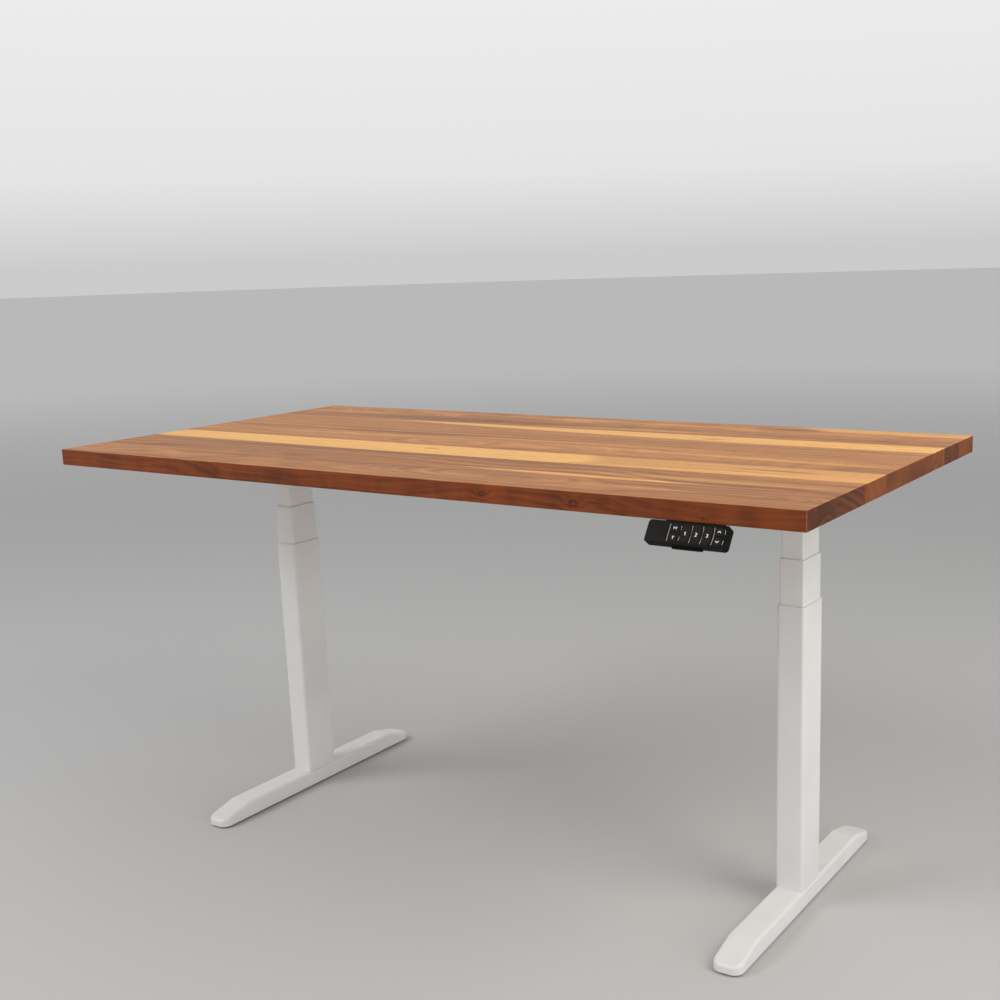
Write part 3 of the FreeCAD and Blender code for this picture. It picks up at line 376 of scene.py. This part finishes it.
# Each board: its width, how light it is, its pith as a distance behind its front and above the top's
# face, its stretches of other colour, and its knots. A stretch is the middle along the desk, the
# distance behind the desk's front edge, its half length, its half width, how far it slants, its kind
# and its strength. A knot is a place along the desk, behind the front edge and below the face, and a
# size. The kinds are sap, which is pale, dark, and heart, the wood's own middle brown.
BOARDS = [
    (0.105, 0.42, (0.050, -0.085), [
        (0.330, 0.060, 0.420, 0.006, 0.02, "sap", 0.18), (-0.30, 0.085, 0.300, 0.010, 0.02, "dark", 0.35),
        (0.560, 0.090, 0.240, 0.005, 0.01, "dark", 0.45),
    ], [(0.235, 0.0, 0.015, 0.0030), (0.400, 0.0, 0.018, 0.0040), (0.610, 0.0, 0.023, 0.0016)]),
    (0.113, 0.44, (-0.020, -0.120), [
        (0.330, 0.124, 0.230, 0.008, -0.012, "sap", 1.0), (0.600, 0.112, 0.240, 0.005, 0.02, "dark", 0.45),
        (-0.350, 0.200, 0.330, 0.008, 0.01, "dark", 0.25), (0.560, 0.160, 0.260, 0.016, 0.02, "sap", 0.30),
        (0.100, 0.215, 0.500, 0.007, 0.0, "dark", 0.40),
    ], []),
    (0.090, 0.70, (0.160, 0.060), [
        (0.500, 0.262, 0.620, 0.060, 0.0, "sap", 0.42), (-0.260, 0.262, 0.530, 0.250, 0.0, "sap", 1.0),
        (0.600, 0.236, 0.330, 0.010, 0.03, "sap", 0.60), (0.600, 0.275, 0.075, 0.004, 0.0, "dark", 0.85),
        (-0.700, 0.218, 0.380, 0.013, 0.0, "dark", 0.55), (-0.077, 0.274, 0.018, 0.009, 0.0, "heart", 0.50),
    ], []),
    (0.104, 0.60, (0.040, -0.095), [
        (-0.300, 0.388, 0.300, 0.007, 0.05, "sap", 0.45), (0.000, 0.322, 0.760, 0.007, 0.0, "dark", 0.30),
        (0.450, 0.378, 0.400, 0.009, -0.05, "sap", 0.50),
    ], []),
    (0.106, 0.58, (0.140, -0.070), [
        (-0.260, 0.430, 0.200, 0.008, 0.02, "dark", 0.60), (-0.620, 0.424, 0.120, 0.008, 0.0, "dark", 0.40),
        (0.220, 0.424, 0.300, 0.010, -0.02, "sap", 0.35), (0.440, 0.500, 0.420, 0.010, 0.0, "dark", 0.25),
    ], [(0.455, 0.430, 0.0, 0.0024)]),
    (0.077, 0.62, (-0.060, 0.070), [
        (0.600, 0.598, 1.060, 0.070, 0.0, "sap", 1.0), (-0.300, 0.585, 0.300, 0.006, 0.0, "sap", 0.25),
        (0.350, 0.557, 0.024, 0.010, 0.0, "heart", 0.45),
    ], []),
    (0.082, 0.47, (0.050, -0.060), [
        (-0.280, 0.636, 0.420, 0.014, 0.0, "dark", 0.50), (0.560, 0.628, 0.260, 0.012, -0.02, "dark", 0.45),
        (0.160, 0.622, 0.200, 0.010, 0.03, "sap", 0.40),
    ], []),
    (0.085, 0.62, (0.020, -0.110), [
        (0.680, 0.740, 0.300, 0.032, 0.0, "sap", 0.60), (0.050, 0.714, 0.330, 0.008, -0.02, "sap", 0.50),
        (-0.620, 0.680, 0.120, 0.018, 0.0, "sap", 0.30), (0.440, 0.728, 0.050, 0.012, 0.0, "dark", 0.70),
    ], []),
]
print(len(BOARDS), "boards,", round(sum(board[0] for board in BOARDS), 3), "m in all")


# %% One stretch of sapwood or dark wood, and one knot
SOFT_EDGE = {"sap": 0.013, "dark": 0.012, "heart": 0.008}
MOST_WANDER = 0.012      # how far a stretch's edge strays from its lens, in metres
BROAD = 0.10             # a stretch with a greater half width fills its board and ends raggedly
RAGGED = 0.30            # how far such an end strays, as a share of its half width
KNOT_LENGTH = 1.7        # a knot is cut at a slant, so it is longer along the board


def stretch_mask(tree, along, across, wander, stretch):
    """1 inside a lens about a slanted line, and 0 outside it, with an edge that follows the grain."""
    middle, behind, half_length, half_width, slant, kind, strength = stretch
    from_middle = sums(tree, "SUBTRACT", along, middle)
    share = sums(tree, "DIVIDE", from_middle, half_length)
    room = sums(tree, "MULTIPLY_ADD", sums(tree, "MULTIPLY", share, share), -half_width, half_width)
    centre = sums(tree, "MULTIPLY_ADD", from_middle, slant, FRONT + behind)
    off_line = sums(tree, "ABSOLUTE", sums(tree, "SUBTRACT", across, centre))
    broad = half_width > BROAD
    reach = half_width * RAGGED if broad else min(half_width, MOST_WANDER)
    loose = sums(tree, "MULTIPLY_ADD", wander, reach, off_line)
    inside = sums(tree, "SUBTRACT", room, loose)
    edge = SOFT_EDGE[kind] * (4 if broad else 1)
    return span(tree, inside, -edge / 2, edge / 2, 0.0, strength)


def knot_distance(tree, along, across, up, knot):
    """How many of its own sizes a point is from a knot, which is longer along the grain."""
    middle, behind, below, size = knot
    reaches = [
        sums(tree, "DIVIDE", sums(tree, "SUBTRACT", along, middle), size * KNOT_LENGTH),
        sums(tree, "DIVIDE", sums(tree, "SUBTRACT", across, FRONT + behind), size),
        sums(tree, "DIVIDE", sums(tree, "SUBTRACT", up, top_high.z - below), size),
    ]
    squares = [sums(tree, "MULTIPLY", reach, reach) for reach in reaches]
    return sums(tree, "SQRT", sums(tree, "ADD", sums(tree, "ADD", *squares[:2]), squares[2]))


# %% Walnut material
RING_SCALE = 105.0       # rings in each metre out from the pith
STREAK = (2.2, 130.0, 130.0)
FIBRE = (5.0, 520.0, 520.0)
PORE = (34.0, 1150.0, 1150.0)
FIGURE = (24.0, 9.0, 9.0)   # curl: patches where the fibres lean towards or away from the light
WOOD_SHINE = 0.3         # an oil finish is duller than a varnish
KNOT_SWIRL = 0.010       # how far a knot pushes the rings aside
SIDE_DRIFT = 0.11        # how far the pith wanders across the board and up and down, in metres
DEEP_DRIFT = 0.16
RING_SHARE = 0.40        # how much of the shade is rings, and how much is each finer texture
CLOUD_SHARE = 0.55
STREAK_SHARE = 0.75
FIBRE_SHARE = 0.50


def walnut(name, number, tone, pith, front, stretches, knots):
    """Solid wood for one board. tone is 0 for the darkest wood and 1 for the lightest."""
    material, tree, shader = new_material(name)
    shader.inputs["Specular IOR Level"].default_value = WOOD_SHINE
    place = object_place(tree)
    apart = (number * 3.7, number * 1.9, number * 5.3)
    parts = add_node(tree, "ShaderNodeSeparateXYZ")
    tree.links.new(place, parts.inputs[0])
    along, across, up = parts.outputs

    # the rings wander as the trunk did, slowly along the board
    slow = noise(tree, stretched(tree, place, (1.6, 4.0, 4.0), apart), 1.0, detail=2)
    drift = add_node(tree, "ShaderNodeSeparateColor")
    tree.links.new(slow.outputs["Color"], drift.inputs[0])
    side_drift = sums(tree, "MULTIPLY_ADD", drift.outputs[0], SIDE_DRIFT, -SIDE_DRIFT / 2)
    deep_drift = sums(tree, "MULTIPLY_ADD", drift.outputs[1], DEEP_DRIFT, -DEEP_DRIFT / 2)
    out_y = sums(tree, "ADD", sums(tree, "SUBTRACT", across, front + pith[0]), side_drift)
    out_z = sums(tree, "ADD", sums(tree, "SUBTRACT", up, top_high.z + pith[1]), deep_drift)
    square = sums(tree, "ADD", sums(tree, "MULTIPLY", out_y, out_y), sums(tree, "MULTIPLY", out_z, out_z))
    radius = sums(tree, "SQRT", square)
    knot_steps = [knot_distance(tree, along, across, up, knot) for knot in knots]
    for steps in knot_steps:
        radius = sums(tree, "ADD", radius, span(tree, steps, 5.0, 0.4, 0.0, KNOT_SWIRL))
    rings = add_node(tree, "ShaderNodeTexNoise", noise_dimensions="1D")
    rings.inputs["Scale"].default_value = RING_SCALE
    rings.inputs["Detail"].default_value = 2.5
    rings.inputs["Roughness"].default_value = 0.6
    tree.links.new(radius, rings.inputs["W"])

    fibre = noise(tree, stretched(tree, place, FIBRE, apart), 1.0, detail=3).outputs[0]
    pore = noise(tree, stretched(tree, place, PORE, apart), 1.0, detail=1).outputs[0]
    cloud = noise(tree, stretched(tree, place, (1.3, 14.0, 14.0), apart), 1.0, detail=3).outputs[0]
    pores = span(tree, pore, 0.60, 0.72)

    streak = noise(tree, stretched(tree, place, STREAK, apart), 1.0, detail=4).outputs[0]
    ring_step = span(tree, rings.outputs[0], 0.28, 0.72)
    shade = sums(tree, "MULTIPLY_ADD", ring_step, RING_SHARE, tone - RING_SHARE / 2)
    for texture, weight in ((cloud, CLOUD_SHARE), (streak, STREAK_SHARE), (fibre, FIBRE_SHARE)):
        shade = sums(tree, "ADD", shade, sums(tree, "MULTIPLY_ADD", texture, weight, -weight / 2))

    # curl in the fibres shows as soft patches of painted sheen, most of all on the front and rear edges
    figure = noise(tree, stretched(tree, place, FIGURE, apart), 1.0, detail=2).outputs[0]
    facing = add_node(tree, "ShaderNodeSeparateXYZ")
    tree.links.new(add_node(tree, "ShaderNodeTexCoord").outputs["Normal"], facing.inputs[0])
    end_grain = span(tree, sums(tree, "ABSOLUTE", facing.outputs[0]), 0.7, 0.95)
    long_edge = span(tree, sums(tree, "ABSOLUTE", facing.outputs[1]), 0.7, 0.95)
    curl = sums(tree, "MULTIPLY_ADD", long_edge, 0.75, 0.22)
    shade = sums(tree, "MULTIPLY_ADD", sums(tree, "SUBTRACT", figure, 0.5), curl, shade)
    shade = sums(tree, "MAXIMUM", sums(tree, "MINIMUM", shade, 1.0), 0.0)
    colour = ramp(tree, shade, [(0.0, HEART_DARK), (0.5, HEART_MID), (1.0, HEART_LIGHT)])

    wander = sums(tree, "MULTIPLY_ADD", cloud, 2.0, -1.0)
    sap_shade = sums(tree, "MULTIPLY_ADD", shade, 0.55, sums(tree, "MULTIPLY_ADD", fibre, 0.5, 0.06))
    sap_colour = ramp(tree, sap_shade, [(0.28, SAP_DEEP), (0.72, SAP_PALE)])
    kinds = {"sap": sap_colour, "dark": HEART_DARK, "heart": HEART_MID}
    for stretch in stretches:
        mask = stretch_mask(tree, along, across, wander, stretch)
        colour = blend(tree, mask, colour, kinds[stretch[5]])
    for steps in knot_steps:
        colour = blend(tree, span(tree, steps, 1.9, 0.8, 0.0, 0.65), colour, KNOT)
        colour = blend(tree, span(tree, steps, 0.7, 0.3, 0.0, 0.7), colour, HEART_MID)
    colour = blend(tree, sums(tree, "MULTIPLY", pores, 0.45), colour, HEART_DARK)

    # painted shade darkens the front and rear edges; the oil-soaked end grain mixes in a fifth of it
    edge_shaded = blend(tree, 1.0, colour, EDGE_SHADE, "MULTIPLY")
    colour = blend(tree, long_edge, colour, edge_shaded)
    ring_shade = sums(tree, "MULTIPLY_ADD", rings.outputs[0], 0.7, 1.6 * tone - 1.22)
    end_shade = sums(tree, "MULTIPLY_ADD", cloud, 1.0, ring_shade)
    end_colour = blend(tree, 0.2, ramp(tree, end_shade, [(0.15, END_DARK), (0.75, END_LIGHT)]), edge_shaded)
    colour = blend(tree, end_grain, colour, end_colour)
    tree.links.new(colour, shader.inputs["Base Color"])

    rough = sums(tree, "MULTIPLY_ADD", fibre, 0.16, sums(tree, "MULTIPLY_ADD", pores, 0.15, 0.42))
    tree.links.new(sums(tree, "MULTIPLY_ADD", end_grain, 0.2, rough), shader.inputs["Roughness"])
    height = sums(tree, "SUBTRACT", sums(tree, "MULTIPLY", fibre, 0.5), pores)
    bump(tree, shader, height, 0.35, 0.00012)
    return material


# %% [markdown]
# ## The boards
# Each board is a long bar whose outer edges have a narrow bevel, because a sharp edge on real wood is
# always eased a little with sandpaper and catches a thin line of light. Between two boards the joint
# is glued and sanded flush, so there the edges stay square, with a hairline gap of a tenth of a millimetre.

# %% Boards
EASED = 0.0011
HAIRLINE = 0.00012


def board_mesh(name, y_low, y_high, front_edge, rear_edge):
    """A bar with bevelled edges where the board's edge is the desk's edge, and square edges at the joints."""
    mesh = bpy.data.meshes.new(name)
    made = bmesh.new()
    bmesh.ops.create_cube(made, size=1.0)
    size = Vector((top_high.x - top_low.x, y_high - y_low, top_high.z - top_low.z))
    middle = Vector((0, (y_low + y_high) / 2, (top_low.z + top_high.z) / 2))
    for vertex in made.verts:
        vertex.co = Vector(a * b for a, b in zip(vertex.co, size)) + middle

    def is_outer(edge):
        if all(abs(abs(v.co.x) - top_high.x) < 1e-5 for v in edge.verts):
            joint = all(abs(v.co.y - y_low) < 1e-5 for v in edge.verts) and not front_edge
            joint = joint or (all(abs(v.co.y - y_high) < 1e-5 for v in edge.verts) and not rear_edge)
            return not joint
        y = edge.verts[0].co.y
        return front_edge if abs(y - y_low) < 1e-5 else rear_edge

    outer = [edge for edge in made.edges if is_outer(edge)]
    bmesh.ops.bevel(made, geom=outer, offset=EASED, segments=3, profile=0.5, affect="EDGES")
    made.to_mesh(mesh)
    made.free()
    for polygon in mesh.polygons:
        polygon.use_smooth = False
    return mesh


edge_y = FRONT
for number, (width, tone, pith, stretches, knots) in enumerate(BOARDS, start=1):
    name = f"top_board_{number}"
    gap = HAIRLINE / 2
    low = edge_y + (0 if number == 1 else gap)
    high = edge_y + width - (0 if number == len(BOARDS) else gap)
    board = add_object(name, board_mesh(name, low, high, number == 1, number == len(BOARDS)))
    board.data.materials.append(walnut(f"walnut_{number}", number, tone, pith, edge_y, stretches, knots))
    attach(board, "desktop")
    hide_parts("desktop_panel")
    edge_y += width
print("boards end at", round(edge_y, 4), "and the top at", round(top_high.y, 4))

# %% [markdown]
# ## Keypad
# The keypad is a black plastic shell with a glossy face that leans back, so that a standing person
# reads it from above. The shell, the face and the seven buttons are the frame's own parts, and get
# their finish here. The legends are thin printed marks, made as small raised strokes on the buttons
# that they ride with.

# %% Keypad finishes
finish(moulded("keypad_shell_plastic", (0.0065, 0.0052, 0.0045), 0.5, shine=0.05), "keypad_housing")
BUTTON_FINISH = moulded("button_rubber", (0.0135, 0.0112, 0.0098), 0.5, grain=900.0, shine=0.09)
BUTTONS = [name for name in NODES if name.startswith("button_")]
finish(BUTTON_FINISH, *BUTTONS)


def gloss_black(name):
    material, tree, shader = new_material(name)
    smear = noise(tree, object_place(tree), 60.0, detail=4).outputs[0]
    tree.links.new(ramp(tree, smear, [(0.3, (0.0045, 0.0038, 0.0034)), (0.7, (0.0095, 0.0078, 0.0068))]),
                   shader.inputs["Base Color"])
    shader.inputs["Specular IOR Level"].default_value = 0.05
    tree.links.new(sums(tree, "MULTIPLY_ADD", smear, 0.16, 0.16), shader.inputs["Roughness"])
    return material


finish(gloss_black("keypad_face_gloss"), "keypad_face")
legend_white, legend_tree, legend_shader = new_material("legend_print")
legend_speck = noise(legend_tree, object_place(legend_tree), 900.0).outputs[0]
legend_tree.links.new(ramp(legend_tree, legend_speck, [(0.3, (0.84, 0.84, 0.82)), (0.7, (0.94, 0.94, 0.92))]),
                      legend_shader.inputs["Base Color"])
legend_shader.inputs["Roughness"].default_value = 0.5
print("buttons", sorted(BUTTONS))

# %% [markdown]
# The face's own directions come from the buttons: a button's box gives its middle, and the slide of
# its joint gives the way that it is pressed. With those two, a mark can be drawn flat on a page and
# then set on the sloping face.

# %% Directions on the sloping face
press = next(joint for joint in frame["joints"] if joint["name"] == "button_two_press")
INTO_FACE = Vector(press["axis"]).normalized()
OUT = -INTO_FACE
ACROSS = Vector((1, 0, 0))
UP_FACE = OUT.cross(ACROSS).normalized()
face_low, face_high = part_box("keypad_face")
HALF_FACE = 0.0006           # half of the face's thickness
FACE_MIDDLE = (face_low + face_high) / 2 + OUT * HALF_FACE


def face_point(across, up, out):
    return FACE_MIDDLE + ACROSS * across + UP_FACE * up + OUT * out


def button_middle(name):
    """A button's middle across and up the face."""
    low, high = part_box(name)
    middle = (low + high) / 2 - FACE_MIDDLE
    return middle.dot(ACROSS), middle.dot(UP_FACE)


print("up the face", [round(v, 3) for v in UP_FACE])
print("button two at", [round(v, 4) for v in button_middle("button_two")])


# %% Strokes on the keypad: printed legends and painted highlights
def stroke_mesh(name, strokes, width, low, high):
    """Raised strokes along paths of points on the face. Each path is a list of (across, up)."""
    made = bmesh.new()
    for path in strokes:
        closed = path[0] == path[-1]
        points = [Vector((x, y, 0)) for x, y in (path[:-1] if closed else path)]
        rims = []
        for index, point in enumerate(points):
            before = points[index - 1] if closed or index else point
            after = points[(index + 1) % len(points)] if closed or index < len(points) - 1 else point
            into = (point - before).normalized() if point != before else (after - point).normalized()
            out_of = (after - point).normalized() if after != point else into
            heading = (into + out_of).normalized()
            side = Vector((-heading.y, heading.x, 0)) * (width / 2 / max(0.5, heading.dot(into)))
            rims.append([made.verts.new(face_point(*(point + side * sign).to_2d(), level))
                         for level, sign in ((low, -1), (low, 1), (high, 1), (high, -1))])
        count = len(rims) if closed else len(rims) - 1
        for index in range(count):
            first, second = rims[index], rims[(index + 1) % len(rims)]
            for corner in range(4):
                following = (corner + 1) % 4
                made.faces.new((first[corner], first[following], second[following], second[corner]))
        if not closed:
            made.faces.new(reversed(rims[0]))
            made.faces.new(rims[-1])
    bmesh.ops.recalc_face_normals(made, faces=made.faces)
    mesh = bpy.data.meshes.new(name)
    made.to_mesh(mesh)
    made.free()
    mesh.materials.append(legend_white)
    return mesh


def arc(centre, radius, start, end, steps=10):
    turns = [math.radians(start + (end - start) * step / steps) for step in range(steps + 1)]
    return [(centre[0] + radius * math.cos(turn), centre[1] + radius * math.sin(turn)) for turn in turns]


PROUD = 0.0006               # how far a button stands out of the face
# the next value is how thick both the ink and the painted highlight strips are
MARK_THICKNESS = 0.00012              # how thick the ink is
TALL = 0.0046                # a digit's height
SMALL_TEXT = 0.8             # the two letters' height, as a share of a digit's
STROKE = {"button_memory": 0.0007, "button_timer": 0.0008}
BOLD_STROKE = 0.0010
GLYPHS = {
    "button_one": [[(-0.25, 0.28), (0.05, 0.5), (0.05, -0.5)]],
    "button_two": [arc((0, 0.24), 0.26, 160, -35) + [(-0.28, -0.5), (0.30, -0.5)]],
    "button_three": [arc((0, 0.25), 0.25, 150, -90), arc((0, -0.25), 0.25, 90, -150)],
    "button_memory": [[(-0.60, -0.5), (-0.60, 0.5), (0, -0.20), (0.60, 0.5), (0.60, -0.5)]],
    "button_timer": [[(-0.50, 0.5), (0.50, 0.5)], [(0, 0.5), (0, -0.55)]],
    "button_up": [[(-0.55, -0.25), (0, 0.27), (0.55, -0.25)]],
    "button_down": [[(-0.55, 0.25), (0, -0.27), (0.55, 0.25)]],
}

for button, glyph in GLYPHS.items():
    middle_across, middle_up = button_middle(button)
    size = TALL * (SMALL_TEXT if button in STROKE else 1.0)
    strokes = [[(middle_across + x * size, middle_up + y * size) for x, y in path] for path in glyph]
    name = button.replace("button", "legend")
    width = STROKE.get(button, BOLD_STROKE)
    legend = add_object(name, stroke_mesh(name, strokes, width, PROUD, PROUD + MARK_THICKNESS))
    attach(legend, button)
print("legends", len(GLYPHS))

# %% [markdown]
# Between the columns of buttons run thin pale arcs, painted highlights for the ridges between them that catch
# the light. One straight line of the same pale paint parts the buttons from the plain dark window of the
# display.

# %% Lines on the keypad face
# painted highlight: the pale arcs stand for light caught on the ridges between the buttons; the straight line
# uses the same paint
highlight_and_line_paint, highlight_tree, highlight_shader = new_material("highlight_and_line_paint")
highlight_noise = noise(highlight_tree, object_place(highlight_tree), 700.0).outputs[0]
highlight_tree.links.new(ramp(highlight_tree, highlight_noise, [(0.3, (0.30, 0.30, 0.29)), (0.7, (0.42, 0.42, 0.41))]),
                   highlight_shader.inputs["Base Color"])
highlight_shader.inputs["Roughness"].default_value = 0.4

number_places = [button_middle(name)[0] for name in ("button_one", "button_two", "button_three")]
pitch = number_places[1] - number_places[0]
ARC_HALF = 0.0130            # half of an arc's height
ARC_GAP = 0.0045             # half of the gap in the two outer arcs, which are shorter
OUTER_SHARE = 0.85
ARC_BOW = 0.0012
ARC_WIDTH = 0.0008
LAST_ARC = 1.46              # from button three to the last arc, and from the letters to the line,
LINE_OFFSET = 0.52           # as shares of the pitch


def bowed(place, low, high, steps=8):
    """A stretch of an arc up the face that bows towards the right."""
    heights = [low + (high - low) * step / steps for step in range(steps + 1)]
    return [(place + ARC_BOW * (1 - (height / ARC_HALF) ** 2), height) for height in heights]


arcs = [bowed(place + pitch / 2, -ARC_HALF, ARC_HALF) for place in number_places]
for place in (number_places[0] - pitch / 2, number_places[2] + pitch * LAST_ARC):
    outer = ARC_HALF * OUTER_SHARE
    arcs += [bowed(place, ARC_GAP, outer), bowed(place, -outer, -ARC_GAP)]
face_lines = add_object("keypad_arcs", stroke_mesh("keypad_arcs", arcs, ARC_WIDTH, 0.0, MARK_THICKNESS))
separator_across = button_middle("button_memory")[0] - pitch * LINE_OFFSET
separator_path = [(separator_across, -ARC_HALF), (separator_across, ARC_HALF)]
separator = add_object("display_line", stroke_mesh("display_line", [separator_path], ARC_WIDTH, 0.0, MARK_THICKNESS))
for piece in (face_lines, separator):
    piece.data.materials[0] = highlight_and_line_paint
    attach(piece, "desktop")
print("arcs", len(arcs), "pitch", round(pitch, 4))

# %% [markdown]
# ## Finish
# The box of the finished desk is printed, so that it can be set beside the frame's own box: the looks
# are not meant to make the desk larger than it was measured.

# %% Write the sizes and finish
low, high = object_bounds()
print("finished box", [round(v, 4) for v in low], [round(v, 4) for v in high])
